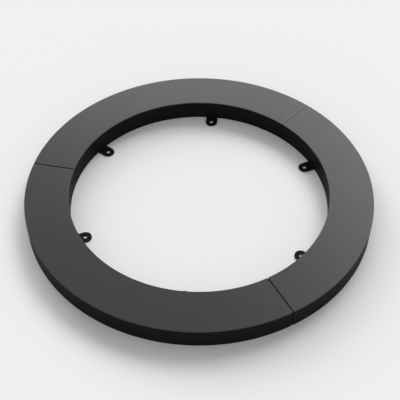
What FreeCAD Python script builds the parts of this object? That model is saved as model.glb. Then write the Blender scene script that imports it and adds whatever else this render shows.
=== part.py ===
import FreeCAD, Part
import math
import os

import Sketcher

# Flat ring edging of welded sheet steel, in three segments that lap at their ends.
# Frame: origin on the ring's axis at ground level, +Z up, the closing segment faces -Y. Millimetres, degrees.

SIZES = (
    ("outer_diameter", 1000),
    ("inner_diameter", 750),
    ("overall_height", 60),
    ("top_thickness", 3),
    ("rim_thickness", 3),
    ("first_lap_angle", 13.5),
    ("closing_lap_angle", 10),
    ("first_seam_gap", 0.8),
    ("closing_seam_gap", 2.8),
    ("edge_chamfer", 0.8),
    ("fit_clearance", 0.3),
    ("rib_thickness", 3),
    ("rib_angle", 20),
    ("rib_ground_clearance", 18),
    ("rib_snipe", 6),
    ("rib_bevel", 14),
    ("lug_thickness", 4),
    ("lug_width", 36),
    ("lug_reach", 25),
    ("anchor_hole_diameter", 12),
    ("lap_plate_thickness", 3),
    ("lap_plate_side_clearance", 1),
    ("lap_plate_weld_angle", 6),
    ("lap_plate_corner", 10),
    ("stud_diameter", 8),
    ("stud_inset", 24),
    ("stud_tail", 4),
    ("stud_chamfer", 1),
    ("stud_hole_diameter", 11),
    ("thread_clearance", 0.15),
    ("washer_diameter", 20),
    ("washer_thickness", 2),
    ("nut_width", 13),
    ("nut_height", 6.5),
)

# The three segments stand at an even pitch. At each joint one of them lies over the lap plate of its
# neighbour: an end that lies over reaches half a lap past its third of the circle, an end that lies under
# stops half a lap short of it. The first seam is pushed shut; the closing segment drops in between two
# wider ones.
FULL_TURN = 360
SEGMENT_PITCH = 120
OVER = 1
UNDER = -1
FIRST = "first"
CLOSING = "closing"
SEGMENTS = (
    # name, direction of its middle, how its clockwise and its counter-clockwise end lie and at which seam
    ("first", 30, (UNDER, CLOSING), (UNDER, FIRST)),
    ("second", 150, (OVER, FIRST), (UNDER, CLOSING)),
    ("closing", -90, (OVER, CLOSING), (OVER, CLOSING)),
)

# A lap plate is welded to the lower segment, which lies clockwise or counter-clockwise of the joint.
CLOCKWISE = -1
COUNTER_CLOCKWISE = 1
JOINTS = (
    # name, direction of the stud row, side on which the lower segment lies, its seam
    ("first_second", 90, CLOCKWISE, FIRST),
    ("second_closing", -150, CLOCKWISE, CLOSING),
    ("closing_first", -30, COUNTER_CLOCKWISE, CLOSING),
)

OUTER_RADIUS = "Sizes.outer_diameter / 2"
INNER_RADIUS = "Sizes.inner_diameter / 2"
OUTER_RIM_INSIDE = "(Sizes.outer_diameter / 2 - Sizes.rim_thickness)"
INNER_RIM_OUTSIDE = "(Sizes.inner_diameter / 2 + Sizes.rim_thickness)"
STUD_RADII = (f"{INNER_RIM_OUTSIDE} + Sizes.stud_inset", f"{OUTER_RIM_INSIDE} - Sizes.stud_inset")
ANCHOR_CIRCLE_RADIUS = "(Sizes.inner_diameter / 2 - Sizes.lug_reach)"
STUD_BORE = "Sizes.stud_diameter / 2 + Sizes.thread_clearance"
HALF_GAP = {seam: f"Sizes.{seam}_seam_gap / 2" for seam in (FIRST, CLOSING)}
HALF_LAP = {seam: f"Sizes.{seam}_lap_angle / 2" for seam in (FIRST, CLOSING)}

# Levels, from the ground up
TOP_UNDERSIDE = "(Sizes.overall_height - Sizes.top_thickness)"
LAP_UNDERSIDE = f"({TOP_UNDERSIDE} - Sizes.lap_plate_thickness)"
WASHER_UNDERSIDE = f"({LAP_UNDERSIDE} - Sizes.washer_thickness)"
NUT_UNDERSIDE = f"({WASHER_UNDERSIDE} - Sizes.nut_height)"
STUD_END = f"({NUT_UNDERSIDE} - Sizes.stud_tail)"

ORIGIN_POINT = (-1, 1)
X_AXIS = -1
LINE_START = 1
LINE_END = 2
CENTRE = 3
ON_LEVEL = 1e-4

doc = FreeCAD.newDocument("ring_edging")
sheet = doc.addObject("Spreadsheet::Sheet", "Sizes")
for row, (alias, value) in enumerate(SIZES, start=1):
    sheet.set(f"A{row}", alias)
    sheet.set(f"B{row}", str(value))
    sheet.setAlias(f"B{row}", alias)
doc.recompute()


def value_of(expression):
    """The present value of an expression on the sheet."""
    return float(sheet.evalExpression(expression))


def new_body(label, turn, level="0"):
    """A sub-part, turned about the ring's axis and lifted to its level."""
    body = doc.addObject("PartDesign::Body", label)
    body.Label = label
    body.Placement = FreeCAD.Placement(FreeCAD.Vector(), FreeCAD.Rotation(FreeCAD.Vector(0, 0, 1), turn))
    body.setExpression("Placement.Base.z", level)
    return body


def origin_feature(body, role):
    for feature in body.Origin.OriginFeatures:
        if feature.Role == role:
            return feature


def new_sketch(body, role):
    sketch = body.newObject("Sketcher::SketchObject", "Outline")
    sketch.AttachmentSupport = [(origin_feature(body, role), "")]
    sketch.MapMode = "FlatFace"
    return sketch


def drive(sketch, name, expression, kind, *places):
    """A named dimension of a sketch, bound to the sheet. Angles are held in radians by the constraint."""
    start = value_of(expression)
    if kind == "Angle":
        start = math.radians(start)
    index = sketch.addConstraint(Sketcher.Constraint(kind, *places, start))
    sketch.renameConstraint(index, name)
    sketch.setExpression(f"Constraints.{name}", expression)


def join(sketch, *pairs):
    for pair in pairs:
        sketch.addConstraint(Sketcher.Constraint("Coincident", *pair))


def pad(body, sketch, length, side_type="One side"):
    feature = body.newObject("PartDesign::Pad", "Pad")
    feature.Profile = sketch
    feature.SideType = side_type
    feature.setExpression("Length", length)
    doc.recompute()
    return feature


def edges_where(feature, test):
    return [f"Edge{i}" for i, edge in enumerate(feature.Shape.Edges, start=1) if test(edge)]


def chamfer(body, base, size, test):
    """A chamfer of one size on the edges that the test picks."""
    feature = body.newObject("PartDesign::Chamfer", "Chamfer")
    feature.Base = (base, edges_where(base, test))
    feature.setExpression("Size", size)
    doc.recompute()
    return feature


def lies_at(edge, axis, level):
    return all(abs(getattr(vertex, axis) - level) < ON_LEVEL for vertex in edge.Vertexes)


def sector_sketch(body, inner, outer, start, end, setbacks):
    """Ring sector about the axis. Its ends are parallel to the radial planes given, set back from them."""
    sketch = new_sketch(body, "XY_Plane")
    radii = [value_of(outer), value_of(inner)]
    start_gap, end_gap = [value_of(setback) for setback in setbacks]
    angles = [math.radians(value_of(start)), math.radians(value_of(end))]
    corners = []
    for radius in radii:
        limits = (angles[0] + math.asin(start_gap / radius), angles[1] - math.asin(end_gap / radius))
        circle = Part.Circle(FreeCAD.Vector(), FreeCAD.Vector(0, 0, 1), radius)
        arc = Part.ArcOfCircle(circle, *limits)
        sketch.addGeometry(arc)
        corners.append((arc.StartPoint, arc.EndPoint))
    outer_arc, inner_arc, start_line, end_line = range(4)
    for outer_corner, inner_corner in zip(*corners):
        sketch.addGeometry(Part.LineSegment(inner_corner, outer_corner))
    join(
        sketch,
        (outer_arc, CENTRE, *ORIGIN_POINT),
        (inner_arc, CENTRE, *ORIGIN_POINT),
        (start_line, LINE_START, inner_arc, LINE_START),
        (start_line, LINE_END, outer_arc, LINE_START),
        (end_line, LINE_START, inner_arc, LINE_END),
        (end_line, LINE_END, outer_arc, LINE_END),
    )
    drive(sketch, "OuterRadius", outer, "Radius", outer_arc)
    drive(sketch, "InnerRadius", inner, "Radius", inner_arc)
    drive(sketch, "StartAngle", start, "Angle", start_line)
    drive(sketch, "EndAngle", end, "Angle", end_line)
    for line, name, setback in zip((start_line, end_line), ("StartSetback", "EndSetback"), setbacks):
        drive(sketch, name, setback, "Distance", *ORIGIN_POINT, line)
    return sketch


def end_angle(side, lie, seam):
    """Direction of a segment's seam, measured from its middle."""
    return f"{side} * ({SEGMENT_PITCH / 2} + {lie} * {HALF_LAP[seam]})"


def segment_sector(label, turn, level, inner, outer, ends, thickness):
    """A plate or rim that runs from one seam of its segment to the other."""
    body = new_body(label, turn, level)
    angles = [end_angle(side, *end) for side, end in zip((CLOCKWISE, COUNTER_CLOCKWISE), ends)]
    setbacks = [HALF_GAP[seam] for _, seam in ends]
    sketch = sector_sketch(body, inner, outer, *angles, setbacks)
    return body, pad(body, sketch, thickness)


def top_plate(label, turn, ends):
    body, plate = segment_sector(
        label, turn, TOP_UNDERSIDE, INNER_RADIUS, OUTER_RADIUS, ends, "Sizes.top_thickness")

    def top_edge(edge):
        return lies_at(edge, "Z", value_of("Sizes.top_thickness"))

    chamfer(body, plate, "Sizes.edge_chamfer", top_edge)
    return body


def rim(label, turn, ends, inner, outer):
    body, _ = segment_sector(label, turn, "0", inner, outer, ends, TOP_UNDERSIDE)
    return body


def rib(label, turn, side):
    """Radial stiffener between the rims: small snipes clear the weld at the top, large bevels at the foot."""
    body = new_body(label, turn)
    body.setExpression("Placement.Rotation.Angle", f"{turn} + {side} * Sizes.rib_angle")
    sketch = new_sketch(body, "XZ_Plane")
    limits = {
        "Left": f"{INNER_RIM_OUTSIDE} + Sizes.fit_clearance",
        "Right": f"{OUTER_RIM_INSIDE} - Sizes.fit_clearance",
        "Foot": "Sizes.rib_ground_clearance",
        "Head": TOP_UNDERSIDE,
    }
    left, right, foot, head = [value_of(limit) for limit in limits.values()]
    corners = [FreeCAD.Vector(x, z) for x, z in ((left, foot), (right, foot), (right, head), (left, head))]
    for index, corner in enumerate(corners):
        sketch.addGeometry(Part.LineSegment(corner, corners[(index + 1) % len(corners)]))
    for index in range(len(corners)):
        join(sketch, (index, LINE_END, (index + 1) % len(corners), LINE_START))
        sketch.addConstraint(Sketcher.Constraint("Vertical" if index % 2 else "Horizontal", index))
    foot_line, right_line, head_line, left_line = range(len(corners))
    drive(sketch, "Left", limits["Left"], "DistanceX", *ORIGIN_POINT, left_line, LINE_START)
    drive(sketch, "Right", limits["Right"], "DistanceX", *ORIGIN_POINT, right_line, LINE_START)
    drive(sketch, "Foot", limits["Foot"], "DistanceY", *ORIGIN_POINT, foot_line, LINE_START)
    drive(sketch, "Head", limits["Head"], "DistanceY", *ORIGIN_POINT, head_line, LINE_START)
    plate = pad(body, sketch, "Sizes.rib_thickness", "Symmetric")

    def at_end(edge):
        return lies_at(edge, "X", left) or lies_at(edge, "X", right)

    def head_corner(edge):
        return lies_at(edge, "Z", head) and at_end(edge)

    def foot_corner(edge):
        return lies_at(edge, "Z", foot) and at_end(edge)

    sniped = chamfer(body, plate, "Sizes.rib_snipe", head_corner)
    chamfer(body, sniped, "Sizes.rib_bevel", foot_corner)
    return body


def anchor_lug(label, turn):
    """Flat lug at the foot of the inner rim: its back follows the rim, its nose rounds the anchor hole."""
    body = new_body(label, turn)
    sketch = new_sketch(body, "XY_Plane")
    back = f"{INNER_RADIUS} - Sizes.fit_clearance"
    back_radius = value_of(back)
    half_width = value_of("Sizes.lug_width / 2")
    hole_x = value_of(ANCHOR_CIRCLE_RADIUS)
    spread = math.asin(half_width / back_radius)
    normal = FreeCAD.Vector(0, 0, 1)
    hole_centre = FreeCAD.Vector(hole_x, 0)
    back_arc = Part.ArcOfCircle(Part.Circle(FreeCAD.Vector(), normal, back_radius), -spread, spread)
    nose_arc = Part.ArcOfCircle(Part.Circle(hole_centre, normal, half_width), math.pi / 2, 3 * math.pi / 2)
    upper = Part.LineSegment(back_arc.EndPoint, nose_arc.StartPoint)
    lower = Part.LineSegment(nose_arc.EndPoint, back_arc.StartPoint)
    hole = Part.Circle(hole_centre, normal, value_of("Sizes.anchor_hole_diameter / 2"))
    back_id, upper_id, nose_id, lower_id, hole_id = [
        sketch.addGeometry(shape) for shape in (back_arc, upper, nose_arc, lower, hole)]
    join(
        sketch,
        (back_id, CENTRE, *ORIGIN_POINT),
        (back_id, LINE_END, upper_id, LINE_START),
        (lower_id, LINE_END, back_id, LINE_START),
        (hole_id, CENTRE, nose_id, CENTRE),
    )
    sketch.addConstraint(Sketcher.Constraint("Tangent", upper_id, LINE_END, nose_id, LINE_START))
    sketch.addConstraint(Sketcher.Constraint("Tangent", nose_id, LINE_END, lower_id, LINE_START))
    sketch.addConstraint(Sketcher.Constraint("Horizontal", upper_id))
    sketch.addConstraint(Sketcher.Constraint("Horizontal", lower_id))
    sketch.addConstraint(Sketcher.Constraint("PointOnObject", nose_id, CENTRE, X_AXIS))
    drive(sketch, "Back", back, "Radius", back_id)
    drive(sketch, "Nose", "Sizes.lug_width / 2", "Radius", nose_id)
    drive(sketch, "Reach", ANCHOR_CIRCLE_RADIUS, "DistanceX", *ORIGIN_POINT, nose_id, CENTRE)
    drive(sketch, "AnchorHole", "Sizes.anchor_hole_diameter / 2", "Radius", hole_id)
    pad(body, sketch, "Sizes.lug_thickness")
    return body


def on_stud_axes(body, kind, sizes):
    """The same round or six-sided feature on both stud axes of a joint."""
    features = []
    for radius in STUD_RADII:
        feature = body.newObject(kind, "OnStudAxis")
        feature.AttachmentSupport = [(origin_feature(body, "XY_Plane"), "")]
        feature.MapMode = "FlatFace"
        feature.setExpression("AttachmentOffset.Base.x", radius)
        for name, expression in sizes.items():
            feature.setExpression(name, expression)
        doc.recompute()
        features.append(feature)
    return features


def bores(body, radius, height):
    sizes = {"Radius": radius, "Height": height}
    return on_stud_axes(body, "PartDesign::SubtractiveCylinder", sizes)


def at_every_joint(body, features):
    """Repeats the features of the first joint round the ring's axis."""
    pattern = body.newObject("PartDesign::PolarPattern", "Joints")
    pattern.Originals = features
    pattern.Axis = (origin_feature(body, "Z_Axis"), [""])
    pattern.Angle = FULL_TURN
    pattern.Occurrences = len(JOINTS)
    body.Tip = pattern
    doc.recompute()


def lap_plate(label, turn, side, seam):
    """Plate under a seam: one end is welded to the lower segment, the neighbour lies on the other."""
    body = new_body(label, turn, LAP_UNDERSIDE)
    welded_end = f"{side} * ({HALF_LAP[seam]} + Sizes.lap_plate_weld_angle)"
    free_end = f"{-side} * {HALF_LAP[seam]}"
    ends = (welded_end, free_end) if side == CLOCKWISE else (free_end, welded_end)
    inner = f"{INNER_RIM_OUTSIDE} + Sizes.lap_plate_side_clearance"
    outer = f"{OUTER_RIM_INSIDE} - Sizes.lap_plate_side_clearance"
    sketch = sector_sketch(body, inner, outer, *ends, (HALF_GAP[seam], HALF_GAP[seam]))
    plate = pad(body, sketch, "Sizes.lap_plate_thickness")

    def free_corner(edge):
        first, last = edge.Vertexes[0], edge.Vertexes[-1]
        return abs(first.Z - last.Z) > ON_LEVEL and first.Y * side < 0

    # Clipped corners let the neighbour's rims drop past the free end
    clipped = chamfer(body, plate, "Sizes.lap_plate_corner", free_corner)
    bores(body, "Sizes.stud_hole_diameter / 2", "Sizes.lap_plate_thickness")
    if body.Shape.Volume >= clipped.Shape.Volume:
        raise ValueError(f"{label}: the stud holes cut nothing")
    return body


def weld_studs(label, turn):
    body = new_body(label, turn, STUD_END)
    shanks = on_stud_axes(body, "PartDesign::AdditiveCylinder", {
        "Radius": "Sizes.stud_diameter / 2", "Height": f"{TOP_UNDERSIDE} - {STUD_END}"})

    def tip_edge(edge):
        return lies_at(edge, "Z", 0)

    tips = chamfer(body, shanks[-1], "Sizes.stud_chamfer", tip_edge)
    at_every_joint(body, [*shanks, tips])
    return body


def washers(label, turn):
    body = new_body(label, turn, WASHER_UNDERSIDE)
    rings = on_stud_axes(body, "PartDesign::AdditiveCylinder", {
        "Radius": "Sizes.washer_diameter / 2", "Height": "Sizes.washer_thickness"})
    at_every_joint(body, rings + bores(body, STUD_BORE, "Sizes.washer_thickness"))
    return body


def nuts(label, turn):
    body = new_body(label, turn, NUT_UNDERSIDE)
    blocks = on_stud_axes(body, "PartDesign::AdditivePrism", {
        "Circumradius": "Sizes.nut_width / 2 / cos(30)", "Height": "Sizes.nut_height"})
    at_every_joint(body, blocks + bores(body, STUD_BORE, "Sizes.nut_height"))
    return body


sub_parts = []
for name, turn, *ends in SEGMENTS:
    segment = f"{name}_segment"
    sub_parts.append(top_plate(f"{segment}_top_plate", turn, ends))
    sub_parts.append(rim(f"{segment}_inner_rim", turn, ends, INNER_RADIUS, INNER_RIM_OUTSIDE))
    sub_parts.append(rim(f"{segment}_outer_rim", turn, ends, OUTER_RIM_INSIDE, OUTER_RADIUS))
    for number, side in enumerate((CLOCKWISE, COUNTER_CLOCKWISE), start=1):
        sub_parts.append(rib(f"{segment}_rib_{number}", turn, side))
        sub_parts.append(anchor_lug(f"{segment}_anchor_lug_{number}", turn + side * SEGMENT_PITCH / 4))

for name, turn, side, seam in JOINTS:
    sub_parts.append(lap_plate(f"{name}_lap_plate", turn, side, seam))

first_joint_turn = JOINTS[0][1]
sub_parts.append(weld_studs("lap_weld_studs", first_joint_turn))
sub_parts.append(washers("lap_washers", first_joint_turn))
sub_parts.append(nuts("lap_nuts", first_joint_turn))

doc.recompute()
for item in doc.Objects:
    if "Invalid" in item.State or "Error" in item.State:
        raise ValueError(f"{item.Label} ({item.Name}) failed: {item.State}")
for body in sub_parts:
    if body.Shape.isNull() or not body.Shape.isValid():
        raise ValueError(f"{body.Label} has no valid shape")

os.makedirs("parts", exist_ok=True)
for body in sub_parts:
    body.Shape.exportStep(f"parts/{body.Label}.step")
print(len(sub_parts), "sub-parts written")
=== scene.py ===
import math

import bmesh
import bpy
from mathutils import Matrix, Vector


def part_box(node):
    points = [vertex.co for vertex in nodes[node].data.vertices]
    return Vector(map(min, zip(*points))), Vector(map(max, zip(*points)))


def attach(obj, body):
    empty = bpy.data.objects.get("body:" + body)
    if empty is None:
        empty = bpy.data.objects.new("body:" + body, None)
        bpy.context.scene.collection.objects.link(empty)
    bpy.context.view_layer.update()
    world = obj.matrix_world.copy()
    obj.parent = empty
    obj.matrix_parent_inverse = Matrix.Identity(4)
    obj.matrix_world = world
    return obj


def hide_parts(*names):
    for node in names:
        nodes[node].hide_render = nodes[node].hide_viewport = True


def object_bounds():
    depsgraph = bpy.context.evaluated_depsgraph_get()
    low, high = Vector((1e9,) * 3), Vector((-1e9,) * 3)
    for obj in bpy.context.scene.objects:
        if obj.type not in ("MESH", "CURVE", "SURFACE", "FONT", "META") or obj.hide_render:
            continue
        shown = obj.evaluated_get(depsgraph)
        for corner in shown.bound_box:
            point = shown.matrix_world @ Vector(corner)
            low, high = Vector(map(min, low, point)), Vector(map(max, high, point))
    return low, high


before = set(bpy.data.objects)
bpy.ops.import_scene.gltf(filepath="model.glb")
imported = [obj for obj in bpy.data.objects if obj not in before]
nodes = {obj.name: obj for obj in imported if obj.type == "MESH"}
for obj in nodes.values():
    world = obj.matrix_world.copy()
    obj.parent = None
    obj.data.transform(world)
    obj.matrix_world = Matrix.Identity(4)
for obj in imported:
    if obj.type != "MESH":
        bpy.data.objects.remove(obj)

cad_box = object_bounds()

# Dressed ring edging: sheets with rounded edges, weld beads, threaded fasteners, coats and a plain stage

# Metres and degrees. Directions round the ring count from +X, those of the stage from the camera.
MILLIMETRE = 0.001
QUARTER_TURN = math.tau / 4
SIXTH_TURN = math.tau / 6
SEGMENTS = ("first", "second", "closing")
PAIR = (1, 2)

# Joints, and the side on which the lower segment lies, to which the lap plate is welded
CLOCKWISE = -1
COUNTER_CLOCKWISE = 1
JOINTS = {"first_second": CLOCKWISE, "second_closing": CLOCKWISE, "closing_first": COUNTER_CLOCKWISE}

# Finish of the sheet steel
ARC_STEP = 1.0
PLATE_EDGE = 0.8 * MILLIMETRE
RIM_EDGE = 0.5 * MILLIMETRE
LUG_EDGE = 0.5 * MILLIMETRE
LUG_STEPS = 24
RIB_EDGE = 0.4 * MILLIMETRE
BEVEL_STEPS = 3
SHARP_ANGLE = 50
SAME_PLACE = 0.01 * MILLIMETRE
SAME_RADIUS = 0.05 * MILLIMETRE

# Weld beads, and the even pitch of the stitches from the middle of each segment
BEAD_LEG = 2.8 * MILLIMETRE
BEAD_BULGE = 0.16
BEAD_SIDES = 6
BEAD_END = 0.35
BEAD_TAPER = 2.5 * MILLIMETRE
RIPPLE_LENGTH = 2.4 * MILLIMETRE
RIPPLE_DEPTH = 0.08
RIPPLE_LAG = 0.9
RINGS_PER_RIPPLE = 5
STITCH_LENGTH = 32 * MILLIMETRE
STITCH_PITCH = 10
STITCHES_EACH_WAY = 5
STITCH_CLEARANCE = 3.5
LAP_WELD_MARGIN = 0.06

# Fasteners of the laps
THREAD_PITCH = 1.25 * MILLIMETRE
THREAD_DEPTH = 0.7 * MILLIMETRE
THREAD_SIDES = 32
ROWS_PER_TURN = 8
STUD_TIP = 1.0 * MILLIMETRE
NUT_SIDES = 72
NUT_ROWS = 6
NUT_CONE = 30
NUT_FACE = 0.95
NUT_COUNTERSINK = 0.5 * MILLIMETRE
WASHER_SIDES = 56
WASHER_EDGE = 0.3 * MILLIMETRE

# Camera of the photograph, measured from the middle of the ring's top
CAMERA_AZIMUTH = 36.5
CAMERA_DISTANCE = 1.691
CAMERA_HEIGHT = 1.747
CAMERA_PITCH = 46.80
CAMERA_YAW = 0.0855
CAMERA_LENS = 75.83
SENSOR_WIDTH = 36.0
OPPOSITE = 180

# Colours in linear light, gloss and roughness of the coats: satin on top; the dull, nearly black coat
# below is painted shade on the rims, ribs, lugs, laps and welds
TOP_COLOUR = (0.0345, 0.0342, 0.0313)
TOP_GLOSS = 0.26
TOP_ROUGHNESS = 0.30
# Nearly black colour of the rims and the parts below the top sheets: painted shade
RIM_SHADED_COLOUR = (0.0074, 0.0071, 0.0064)
RIM_GLOSS = 0.05
RIM_ROUGHNESS = 0.56
ROUGHNESS_SPREAD = 0.02

# Texture of the coats: clouds and pale specks in their colour, patches of gloss, bumps of peel and grain
CLOUDS = {"size": 160 * MILLIMETRE, "detail": 3.0}
CLOUD_SHADES = (0.95, 1.05)
SPECK_SHADE = 1.7
SPECK_SHARE = 0.16
PATCHES = {"size": 30 * MILLIMETRE, "detail": 4.0}
PEEL = {"size": 2.8 * MILLIMETRE, "detail": 1.0}
PEEL_DEPTH = 0.06 * MILLIMETRE
GRAIN = {"size": 1.1 * MILLIMETRE, "detail": 2.0}
GRAIN_DEPTH = 0.04 * MILLIMETRE

# Painted highlight: a pale strip beside the rounded edge of the second top sheet at its tight seam, broken
# up by noise
RUBBED_SEGMENT = "second_segment"
HIGHLIGHT_SIDE = CLOCKWISE
HIGHLIGHT_WIDTH = 2.4 * MILLIMETRE
HIGHLIGHT_FADE = 0.8 * MILLIMETRE
PAINTED_HIGHLIGHT_COLOUR = (0.35, 0.348, 0.339)
HIGHLIGHT_BREAKUP = {"size": 5 * MILLIMETRE, "detail": 6.0, "roughness": 0.75}
LEAST_HIGHLIGHT = 0.2

# Zinc plate of the fasteners
ZINC_COLOUR = (0.62, 0.62, 0.60)
ZINC_CLOUDS = {"size": 4 * MILLIMETRE, "detail": 3.0}
ZINC_SHADES = (0.8, 1.1)
ZINC_PATCHES = {"size": 1.5 * MILLIMETRE, "detail": 2.0}
ZINC_ROUGHNESS = (0.28, 0.42)
ZINC_GRAIN = {"size": 0.8 * MILLIMETRE, "detail": 2.0}
ZINC_GRAIN_DEPTH = 0.02 * MILLIMETRE

# Ranges of shader values, and the places of the colours among the sockets of a Mix node
WHOLE_RANGE = (0.0, 1.0)
NOISE_RANGE = (0.3, 0.7)
MIX_COLOURS = (6, 7)
MIX_RESULT = 2

# Stage: a pale floor and soft far lights, each with its azimuth from straight behind, elevation and power
FLOOR_RADIUS = 60.0
FLOOR_SIDES = 96
FLOOR_COLOUR = (0.93, 0.93, 0.93)
FLOOR_ROUGHNESS = 0.9
LIGHT_WIDTH = 28
LIGHTS = {"back_left": (-30, 20, 0.98), "back": (0, 30, 0.80), "back_right": (30, 40, 1.14)}

# World: a pale backdrop that meets the floor, and goes over into a darker sky between two elevations
WORLD_COLOUR = (1.0, 1.0, 1.0)
BACKDROP_STRENGTH = 0.87
BACKDROP_FADE = (14, 24)
SKY_STRENGTH = 0.43


def corners(node):
    return [vertex.co.copy() for vertex in nodes[node].data.vertices]


def reach(node):
    """Least and greatest distance of a node's corners from the ring's axis."""
    radii = [math.hypot(point.x, point.y) for point in corners(node)]
    return min(radii), max(radii)


def level(node):
    low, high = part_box(node)
    return low.z, high.z


def polar(radius, angle, height):
    return Vector((radius * math.cos(angle), radius * math.sin(angle), height))


def direction(node):
    """Angle of a node's middle round the ring."""
    middle = sum(corners(node), Vector())
    return math.atan2(middle.y, middle.x)


def span(node, radius):
    """First and last angle of the corners of a node that lie at a radius."""
    middle = direction(node)
    turn = Matrix.Rotation(-middle, 3, "Z")
    angles = []
    for point in corners(node):
        if abs(math.hypot(point.x, point.y) - radius) < SAME_RADIUS:
            local = turn @ point
            angles.append(math.atan2(local.y, local.x))
    return middle + min(angles), middle + max(angles)


def mix(first, last, share):
    return first + (last - first) * share


def add_piece(name, mesh, material):
    piece = bpy.data.objects.new(name, mesh)
    bpy.context.scene.collection.objects.link(piece)
    mesh.materials.append(material)
    for face in mesh.polygons:
        face.use_smooth = True
    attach(piece, "root")
    return piece


def round_edges(piece, width):
    bevel = piece.modifiers.new("rounded_edges", "BEVEL")
    bevel.width = width
    bevel.segments = BEVEL_STEPS
    bevel.limit_method = "ANGLE"
    bevel.angle_limit = math.radians(SHARP_ANGLE)
    bevel.harden_normals = True


def rings_mesh(name, stacks, closed):
    """Mesh of stacks of rings with equally many points. A closed stack joins its last ring to its first,
    an open one gets a face at both ends."""
    build = bmesh.new()
    for rings in stacks:
        loops = [[build.verts.new(point) for point in ring] for ring in rings]
        pairs = list(zip(loops, loops[1:]))
        if closed:
            pairs.append((loops[-1], loops[0]))
        for lower, upper in pairs:
            for index, vertex in enumerate(lower):
                previous = index - 1
                build.faces.new((lower[previous], vertex, upper[index], upper[previous]))
        if not closed:
            build.faces.new(reversed(loops[0]))
            build.faces.new(loops[-1])
    bmesh.ops.recalc_face_normals(build, faces=build.faces)
    mesh = bpy.data.meshes.new(name)
    build.to_mesh(mesh)
    build.free()
    return mesh


def sector_piece(name, node, edge, material):
    """Finely stepped sheet in place of a ring sector of the frame."""
    inner, outer = reach(node)
    low, high = level(node)
    inner_span, outer_span = span(node, inner), span(node, outer)
    steps = math.ceil(math.degrees(outer_span[1] - outer_span[0]) / ARC_STEP)
    rings = []
    for step in range(steps + 1):
        inner_angle = mix(*inner_span, step / steps)
        outer_angle = mix(*outer_span, step / steps)
        rings.append([
            polar(inner, inner_angle, low), polar(outer, outer_angle, low),
            polar(outer, outer_angle, high), polar(inner, inner_angle, high)])
    piece = add_piece(name, rings_mesh(name, [rings], closed=False), material)
    round_edges(piece, edge)
    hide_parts(node)


def in_line_with(node):
    """Turn that brings the X axis in line with a node, and the node's corners with that turn undone."""
    turn = Matrix.Rotation(direction(node), 3, "Z")
    return turn, [turn.transposed() @ point for point in corners(node)]


def lug_piece(name, node, material):
    """Lug with a drilled hole and rounded edges: its rings run from the hole to the outline and back."""
    turn, local = in_line_with(node)
    low, high = level(node)
    back = reach(node)[1]
    half_width = max(point.y for point in local)
    hole = Vector((min(point.x for point in local) + half_width, 0, 0))
    hole_radius = min((point.xy - hole.xy).length for point in local)
    spread = math.asin(half_width / back)
    left, right = hole + Vector((0, half_width, 0)), hole - Vector((0, half_width, 0))
    shares = [step / LUG_STEPS for step in range(LUG_STEPS)]
    outline = [hole + polar(half_width, mix(QUARTER_TURN, 3 * QUARTER_TURN, share), 0) for share in shares]
    outline += [right.lerp(polar(back, -spread, 0), share) for share in shares]
    outline += [polar(back, mix(-spread, spread, share), 0) for share in shares]
    outline += [polar(back, spread, 0).lerp(left, share) for share in shares]
    bore = [hole + (point - hole).normalized() * hole_radius for point in outline]
    rings = []
    for loop, height in ((bore, low), (outline, low), (outline, high), (bore, high)):
        rings.append([turn @ point + Vector((0, 0, height)) for point in loop])
    piece = add_piece(name, rings_mesh(name, [rings], closed=True), material)
    round_edges(piece, LUG_EDGE)
    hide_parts(node)


def rib_piece(name, node, material):
    """Rib with rounded edges, on the convex outline of a rib of the frame."""
    turn, local = in_line_with(node)
    half = max(point.y for point in local)
    spots = {(round(point.x / SAME_PLACE), round(point.z / SAME_PLACE)) for point in local}
    middle_x = sum(x for x, z in spots) / len(spots)
    middle_z = sum(z for x, z in spots) / len(spots)
    outline = sorted(spots, key=lambda spot: math.atan2(spot[1] - middle_z, spot[0] - middle_x))
    rings = []
    for y in (-half, half):
        rings.append([turn @ Vector((x * SAME_PLACE, y, z * SAME_PLACE)) for x, z in outline])
    piece = add_piece(name, rings_mesh(name, [rings], closed=False), material)
    round_edges(piece, RIB_EDGE)
    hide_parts(node)


# Weld beads. A path gives, for each share of its length, a place in the corner and the ways of both legs.

def arc_path(radius, height, start, end, outward, upward):
    def place(share):
        angle = mix(start, end, share)
        return polar(radius, angle, height), polar(outward, angle, 0), Vector((0, 0, upward))

    return place


def line_path(start, end, first_leg, second_leg):
    def place(share):
        return start.lerp(end, share), first_leg, second_leg

    return place


def bead_rings(path):
    """Rings of a fillet bead: convex face, ripples that lag in the middle, ends that taper off."""
    length = (path(1)[0] - path(0)[0]).length
    count = math.ceil(length / RIPPLE_LENGTH * RINGS_PER_RIPPLE)
    rings = []
    for step in range(count + 1):
        corner, first_leg, second_leg = path(step / count)
        along = length * step / count
        fullness = math.sqrt(min(along, length - along, BEAD_TAPER) / BEAD_TAPER)
        leg = BEAD_LEG * mix(BEAD_END, 1.0, fullness)
        ring = [corner]
        for side in range(BEAD_SIDES + 1):
            share = side / BEAD_SIDES
            belly = 1 - (2 * share - 1) ** 2
            ripple = math.cos(math.tau * (along / RIPPLE_LENGTH + RIPPLE_LAG * belly))
            height = 1 + belly * (BEAD_BULGE + RIPPLE_DEPTH * ripple)
            ring.append(corner + leg * height * ((1 - share) * first_leg + share * second_leg))
        rings.append(ring)
    return rings


def weld_piece(name, paths, material):
    add_piece(name, rings_mesh(name, [bead_rings(path) for path in paths], closed=False), material)


def clear_of(angle, limits):
    """Whether a stitch at an angle keeps its clearance from all that lies between two angles."""
    middle = (limits[0] + limits[1]) / 2
    away = abs((angle - middle + math.pi) % math.tau - math.pi)
    return away > (limits[1] - limits[0]) / 2 + math.radians(STITCH_CLEARANCE)


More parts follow.
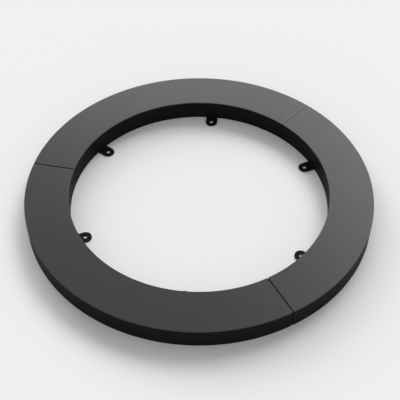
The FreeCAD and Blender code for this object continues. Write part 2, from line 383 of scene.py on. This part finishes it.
def rim_weld_paths(segment, blocked):
    """Stitches under the top plate along both rims, clear of the ribs and lap plates."""
    plate = f"{segment}_top_plate"
    middle = direction(f"{segment}_rib_1") / 2 + direction(f"{segment}_rib_2") / 2
    underside = level(plate)[0]
    inner = reach(f"{segment}_inner_rim")[1]
    outer = reach(f"{segment}_outer_rim")[0]
    paths = []
    for step in range(-STITCHES_EACH_WAY, STITCHES_EACH_WAY + 1):
        angle = middle + math.radians(step * STITCH_PITCH)
        if all(clear_of(angle, limits) for limits in blocked):
            for radius, outward in ((inner, 1), (outer, -1)):
                half = STITCH_LENGTH / 2 / radius
                paths.append(arc_path(radius, underside, angle - half, angle + half, outward, -1))
    return paths


def lug_weld_path(lug, rim):
    """Bead in the corner between a lug's top and the inner rim."""
    start, end = span(lug, reach(lug)[1])
    return arc_path(reach(rim)[0], level(lug)[1], start, end, -1, 1)


def rib_weld_paths(segment, rib):
    """Upright beads at both ends of a rib and a stitch along its head, on either face."""
    turn, local = in_line_with(rib)
    half = max(point.y for point in local)
    end = max(point.x for point in local)
    heights = [point.z for point in local if end - point.x < SAME_PLACE]
    low, high = min(heights), max(heights)
    head = level(rib)[1]
    inner = reach(f"{segment}_inner_rim")[1]
    outer = reach(f"{segment}_outer_rim")[0]
    outward, down = Vector((1, 0, 0)), Vector((0, 0, -1))
    paths = []

    def add(start, finish, *legs):
        paths.append(line_path(turn @ Vector(start), turn @ Vector(finish), *[turn @ leg for leg in legs]))

    for face in (-1, 1):
        y = face * half
        sideways = Vector((0, face, 0))
        add((inner, y, low), (inner, y, high), outward, sideways)
        add((outer, y, low), (outer, y, high), -outward, sideways)
        middle = (inner + outer) / 2
        add((middle - STITCH_LENGTH / 2, y, head), (middle + STITCH_LENGTH / 2, y, head), sideways, down)
    return paths


def sheet_end(sheet, side):
    """Inner and outer corner of a sheet's end on top, and the way that the end faces."""
    end = 0 if side == CLOCKWISE else 1
    inside, outside = [polar(radius, span(sheet, radius)[end], level(sheet)[1]) for radius in reach(sheet)]
    along = (outside - inside).normalized()
    return inside, outside, Vector((-along.y, along.x, 0)) * side


def lap_weld_path(plate, side):
    """Bead along the end of a lap plate that is welded to the lower segment."""
    inside, outside, away = sheet_end(plate, side)
    start, finish = inside.lerp(outside, LAP_WELD_MARGIN), outside.lerp(inside, LAP_WELD_MARGIN)
    return line_path(start, finish, away, Vector((0, 0, -1)))


# Fasteners

def solids(node):
    """Corners of each separate solid in a node."""
    build = bmesh.new()
    build.from_mesh(nodes[node].data)
    bmesh.ops.remove_doubles(build, verts=build.verts, dist=SAME_PLACE)
    build.verts.index_update()
    build.verts.ensure_lookup_table()
    found = []
    seen = set()
    for first in build.verts:
        if first.index in seen:
            continue
        seen.add(first.index)
        waiting = [first]
        points = []
        while waiting:
            vertex = waiting.pop()
            points.append(vertex.co.copy())
            for edge in vertex.link_edges:
                neighbour = edge.other_vert(vertex)
                if neighbour.index not in seen:
                    seen.add(neighbour.index)
                    waiting.append(neighbour)
        found.append(points)
    build.free()
    return found


def upright(points):
    """Axis, foot, head, least and greatest radius of an upright solid, and the angle of its far corner."""
    lows, highs = [Vector([pick(axis) for axis in zip(*points)]) for pick in (min, max)]
    axis = Vector((*((lows + highs) / 2).xy, 0))
    arms = sorted(((point - axis).xy for point in points), key=lambda arm: arm.length)
    return axis, lows.z, highs.z, arms[0].length, arms[-1].length, math.atan2(arms[-1].y, arms[-1].x)


def circle(axis, radius, height, sides, start=0.0):
    return [axis + polar(radius, start + math.tau * side / sides, height) for side in range(sides)]


def stud_rings(points):
    """Rings of a stud with a helical thread that runs out over its tip."""
    axis, low, high, _, radius, _ = upright(points)
    rows = math.ceil((high - low) / THREAD_PITCH * ROWS_PER_TURN)
    rings = []
    for row in range(rows + 1):
        height = mix(low, high, row / rows)
        widest = min(radius, radius - STUD_TIP + height - low)
        ring = []
        for side in range(THREAD_SIDES):
            phase = (height / THREAD_PITCH - side / THREAD_SIDES) % 1
            groove = THREAD_DEPTH * (1 - abs(2 * phase - 1))
            ring.append(axis + polar(min(widest, radius - groove), math.tau * side / THREAD_SIDES, height))
        rings.append(ring)
    return rings


def nut_rings(points):
    """Rings of a six-sided nut: cones take off its corners, its bore is countersunk."""
    axis, low, high, bore, corner, start = upright(points)
    flat = corner * math.cos(SIXTH_TURN / 2)
    slope = math.tan(math.radians(NUT_CONE))
    rises = [(corner - flat * NUT_FACE) * slope * row / NUT_ROWS for row in range(NUT_ROWS + 1)]
    levels = [(low + rise, rise) for rise in rises] + [(high - rise, rise) for rise in reversed(rises)]

    def bore_ring(radius, height):
        return circle(axis, radius, height, NUT_SIDES, start)

    rings = [bore_ring(bore, low + NUT_COUNTERSINK), bore_ring(bore + NUT_COUNTERSINK, low)]
    for height, rise in levels:
        ring = []
        for side in range(NUT_SIDES):
            angle = math.tau * side / NUT_SIDES
            hexagon = flat / math.cos(angle % SIXTH_TURN - SIXTH_TURN / 2)
            ring.append(axis + polar(min(hexagon, flat * NUT_FACE + rise / slope), start + angle, height))
        rings.append(ring)
    rings += [bore_ring(bore + NUT_COUNTERSINK, high), bore_ring(bore, high - NUT_COUNTERSINK)]
    return rings


def washer_rings(points):
    axis, low, high, bore, radius, _ = upright(points)
    spots = ((bore, low), (radius, low), (radius, high), (bore, high))
    return [circle(axis, wide, height, WASHER_SIDES) for wide, height in spots]


def fastener_piece(name, node, rings, closed, material):
    mesh = rings_mesh(name, [rings(points) for points in solids(node)], closed)
    piece = add_piece(name, mesh, material)
    mesh.set_sharp_from_angle(angle=math.radians(SHARP_ANGLE))
    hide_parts(node)
    return piece


# Materials

def node_tree(name):
    material = bpy.data.materials.new(name)
    material.use_nodes = True
    tree = material.node_tree
    return material, tree, tree.nodes["Principled BSDF"]


def add_node(tree, kind, **settings):
    node = tree.nodes.new(kind)
    for key, value in settings.items():
        if key in node.inputs:
            node.inputs[key].default_value = value
        else:
            setattr(node, key, value)
    return node


def noise(tree, size, detail, roughness=0.5):
    """Noise in object space, with features of about the size given."""
    place = add_node(tree, "ShaderNodeTexCoord")
    texture = add_node(tree, "ShaderNodeTexNoise", Scale=1 / size, Detail=detail, Roughness=roughness)
    tree.links.new(place.outputs["Object"], texture.inputs["Vector"])
    return texture.outputs["Fac"]


def remap(tree, value, target=WHOLE_RANGE, source=NOISE_RANGE):
    """Value stretched from one range to another, and kept within it."""
    node = add_node(tree, "ShaderNodeMapRange")
    for socket, number in zip(("From Min", "From Max", "To Min", "To Max"), (*source, *target)):
        node.inputs[socket].default_value = number
    tree.links.new(value, node.inputs["Value"])
    return node.outputs["Result"]


def product(tree, first, second):
    node = add_node(tree, "ShaderNodeMath", operation="MULTIPLY")
    for socket, value in zip(node.inputs, (first, second)):
        tree.links.new(value, socket)
    return node.outputs["Value"]


def opaque(colour):
    return (*colour, 1.0)


def blend_colours(tree, share, first, second):
    node = add_node(tree, "ShaderNodeMix", data_type="RGBA")
    tree.links.new(share, node.inputs["Factor"])
    for place, value in zip(MIX_COLOURS, (first, second)):
        if isinstance(value, tuple):
            node.inputs[place].default_value = opaque(value)
        else:
            tree.links.new(value, node.inputs[place])
    return node.outputs[MIX_RESULT]


def scaled(colour, factor):
    return tuple(channel * factor for channel in colour)


def bump(tree, shader, layers):
    """Bump layers of (height, depth in metres), one over the other."""
    previous = None
    for height, depth in layers:
        node = add_node(tree, "ShaderNodeBump", Strength=1.0, Distance=depth)
        tree.links.new(height, node.inputs["Height"])
        if previous:
            tree.links.new(previous, node.inputs["Normal"])
        previous = node.outputs["Normal"]
    tree.links.new(previous, shader.inputs["Normal"])


def painted_highlight(tree, colour, corner, away):
    """Colour with an uneven pale strip along the end of a sheet, a painted highlight."""
    place = add_node(tree, "ShaderNodeTexCoord")
    outwards = add_node(tree, "ShaderNodeVectorMath", operation="DOT_PRODUCT")
    tree.links.new(place.outputs["Object"], outwards.inputs[0])
    outwards.inputs[1].default_value = away
    edge = corner.dot(away) - PLATE_EDGE
    inner_fade = (edge - HIGHLIGHT_WIDTH, edge - HIGHLIGHT_WIDTH + HIGHLIGHT_FADE)
    outer_fade = (edge, edge - HIGHLIGHT_FADE)
    strip = remap(tree, noise(tree, **HIGHLIGHT_BREAKUP), (LEAST_HIGHLIGHT, 1.0))
    for fade in (inner_fade, outer_fade):
        strip = product(tree, strip, remap(tree, outwards.outputs["Value"], WHOLE_RANGE, fade))
    return blend_colours(tree, strip, colour, PAINTED_HIGHLIGHT_COLOUR)


def powder_coat(name, base, gloss, roughness, highlight_end=None):
    """Sprayed coat with a fine grain and faint clouds, and a painted highlight along an end where one is
    given.
    """
    material, tree, shader = node_tree(name)
    clouds = remap(tree, noise(tree, **CLOUDS))
    grain = noise(tree, **GRAIN)
    colour = blend_colours(tree, clouds, *[scaled(base, shade) for shade in CLOUD_SHADES])
    specks = remap(tree, grain, (0.0, SPECK_SHARE))
    colour = blend_colours(tree, specks, colour, scaled(base, SPECK_SHADE))
    if highlight_end:
        colour = painted_highlight(tree, colour, *highlight_end)
    tree.links.new(colour, shader.inputs["Base Color"])
    shader.inputs["Specular IOR Level"].default_value = gloss
    limits = (roughness - ROUGHNESS_SPREAD, roughness + ROUGHNESS_SPREAD)
    tree.links.new(remap(tree, noise(tree, **PATCHES), limits), shader.inputs["Roughness"])
    bump(tree, shader, ((noise(tree, **PEEL), PEEL_DEPTH), (grain, GRAIN_DEPTH)))
    return material


def zinc_plate(name):
    """Plated steel with uneven brightness and gloss and a faint grain."""
    material, tree, shader = node_tree(name)
    clouds = remap(tree, noise(tree, **ZINC_CLOUDS))
    colour = blend_colours(tree, clouds, *[scaled(ZINC_COLOUR, shade) for shade in ZINC_SHADES])
    tree.links.new(colour, shader.inputs["Base Color"])
    shader.inputs["Metallic"].default_value = 1.0
    tree.links.new(remap(tree, noise(tree, **ZINC_PATCHES), ZINC_ROUGHNESS), shader.inputs["Roughness"])
    bump(tree, shader, ((noise(tree, **ZINC_GRAIN), ZINC_GRAIN_DEPTH),))
    return material


top_coat = powder_coat("top_coat", TOP_COLOUR, TOP_GLOSS, TOP_ROUGHNESS)
# Top coat with a painted highlight along the clockwise end of the second top sheet
highlight_corner, _, highlight_way = sheet_end(f"{RUBBED_SEGMENT}_top_plate", HIGHLIGHT_SIDE)
highlighted_coat = powder_coat("highlighted_coat", TOP_COLOUR, TOP_GLOSS, TOP_ROUGHNESS, (highlight_corner, highlight_way))
# Coat of the rims, ribs, lugs, laps and welds: nearly black, with the shade painted into its colour
shaded_rim_coat = powder_coat("shaded_rim_coat", RIM_SHADED_COLOUR, RIM_GLOSS, RIM_ROUGHNESS)
zinc = zinc_plate("zinc_plate")

# Segments: sheets, ribs, lugs and the welds that hold them
lap_spans = [span(f"{joint}_lap_plate", reach(f"{joint}_lap_plate")[0]) for joint in JOINTS]
for name in SEGMENTS:
    segment = f"{name}_segment"
    # The second segment's top sheet takes the coat with the painted highlight
    coat = highlighted_coat if segment == RUBBED_SEGMENT else top_coat
    sector_piece(f"{segment}_top_sheet", f"{segment}_top_plate", PLATE_EDGE, coat)
    for rim in ("inner", "outer"):
        sector_piece(f"{segment}_{rim}_band", f"{segment}_{rim}_rim", RIM_EDGE, shaded_rim_coat)
    ribs = [f"{segment}_rib_{number}" for number in PAIR]
    lugs = [f"{segment}_anchor_lug_{number}" for number in PAIR]
    for number, rib, lug in zip(PAIR, ribs, lugs):
        rib_piece(f"{segment}_stiffener_{number}", rib, shaded_rim_coat)
        lug_piece(f"{segment}_anchor_tab_{number}", lug, shaded_rim_coat)
    rib_spans = [(direction(rib), direction(rib)) for rib in ribs]
    rib_paths = [path for rib in ribs for path in rib_weld_paths(segment, rib)]
    lug_paths = [lug_weld_path(lug, f"{segment}_inner_rim") for lug in lugs]
    weld_piece(f"{segment}_rim_stitches", rim_weld_paths(segment, lap_spans + rib_spans), shaded_rim_coat)
    weld_piece(f"{segment}_rib_welds", rib_paths, shaded_rim_coat)
    weld_piece(f"{segment}_lug_welds", lug_paths, shaded_rim_coat)

# Laps
for joint, lower_side in JOINTS.items():
    plate = f"{joint}_lap_plate"
    # Lap plates take the nearly black coat with painted shade
    nodes[plate].data.materials.clear()
    nodes[plate].data.materials.append(shaded_rim_coat)
    weld_piece(f"{joint}_lap_weld", [lap_weld_path(plate, lower_side)], shaded_rim_coat)
fastener_piece("lap_stud_threads", "lap_weld_studs", stud_rings, False, zinc)
fastener_piece("lap_hexagon_nuts", "lap_nuts", nut_rings, True, zinc)
round_edges(fastener_piece("lap_flat_washers", "lap_washers", washer_rings, True, zinc), WASHER_EDGE)

# Stage
ring_top = cad_box[1].z


def staged(azimuth, distance, height):
    """Place that lies so many degrees to the right of straight behind the ring, as the camera sees it."""
    angle = QUARTER_TURN + math.radians(CAMERA_AZIMUTH - azimuth)
    return polar(distance, angle, height)


camera_data = bpy.data.cameras.new("camera")
camera_data.lens = CAMERA_LENS
camera_data.sensor_width = SENSOR_WIDTH
camera = bpy.data.objects.new("camera", camera_data)
camera.location = staged(OPPOSITE, CAMERA_DISTANCE, ring_top + CAMERA_HEIGHT)
camera_tilt = QUARTER_TURN - math.radians(CAMERA_PITCH)
camera.rotation_euler = (camera_tilt, 0, math.radians(CAMERA_AZIMUTH - CAMERA_YAW))
bpy.context.scene.collection.objects.link(camera)
bpy.context.scene.camera = camera

floor_build = bmesh.new()
bmesh.ops.create_circle(floor_build, cap_ends=True, segments=FLOOR_SIDES, radius=FLOOR_RADIUS)
floor_mesh = bpy.data.meshes.new("floor")
floor_build.to_mesh(floor_mesh)
floor_build.free()
floor = bpy.data.objects.new("floor", floor_mesh)
bpy.context.scene.collection.objects.link(floor)
floor_material, _, floor_shader = node_tree("floor")
floor_shader.inputs["Base Color"].default_value = opaque(FLOOR_COLOUR)
floor_shader.inputs["Roughness"].default_value = FLOOR_ROUGHNESS
floor_shader.inputs["Specular IOR Level"].default_value = 0.0
floor_mesh.materials.append(floor_material)


def soft_light(name, azimuth, elevation, power):
    """Light so far away that only its direction counts."""
    data = bpy.data.lights.new(name, "SUN")
    data.angle = math.radians(LIGHT_WIDTH)
    data.energy = power
    lamp = bpy.data.objects.new(name, data)
    tilt = math.radians(elevation)
    lamp.location = staged(azimuth, math.cos(tilt), math.sin(tilt))
    lamp.rotation_euler = lamp.location.to_track_quat("Z", "Y").to_euler()
    bpy.context.scene.collection.objects.link(lamp)


for name, (azimuth, elevation, power) in LIGHTS.items():
    soft_light(name, azimuth, elevation, power)

world = bpy.data.worlds.new("studio")
world.use_nodes = True
world_tree = world.node_tree
background = world_tree.nodes["Background"]
background.inputs["Color"].default_value = opaque(WORLD_COLOUR)
way = add_node(world_tree, "ShaderNodeTexCoord")
height = add_node(world_tree, "ShaderNodeSeparateXYZ")
world_tree.links.new(way.outputs["Generated"], height.inputs["Vector"])
fade = [math.sin(math.radians(angle)) for angle in BACKDROP_FADE]
strength = remap(world_tree, height.outputs["Z"], (BACKDROP_STRENGTH, SKY_STRENGTH), fade)
world_tree.links.new(strength, background.inputs["Strength"])
bpy.context.scene.world = world

bpy.context.scene.view_settings.view_transform = "Standard"
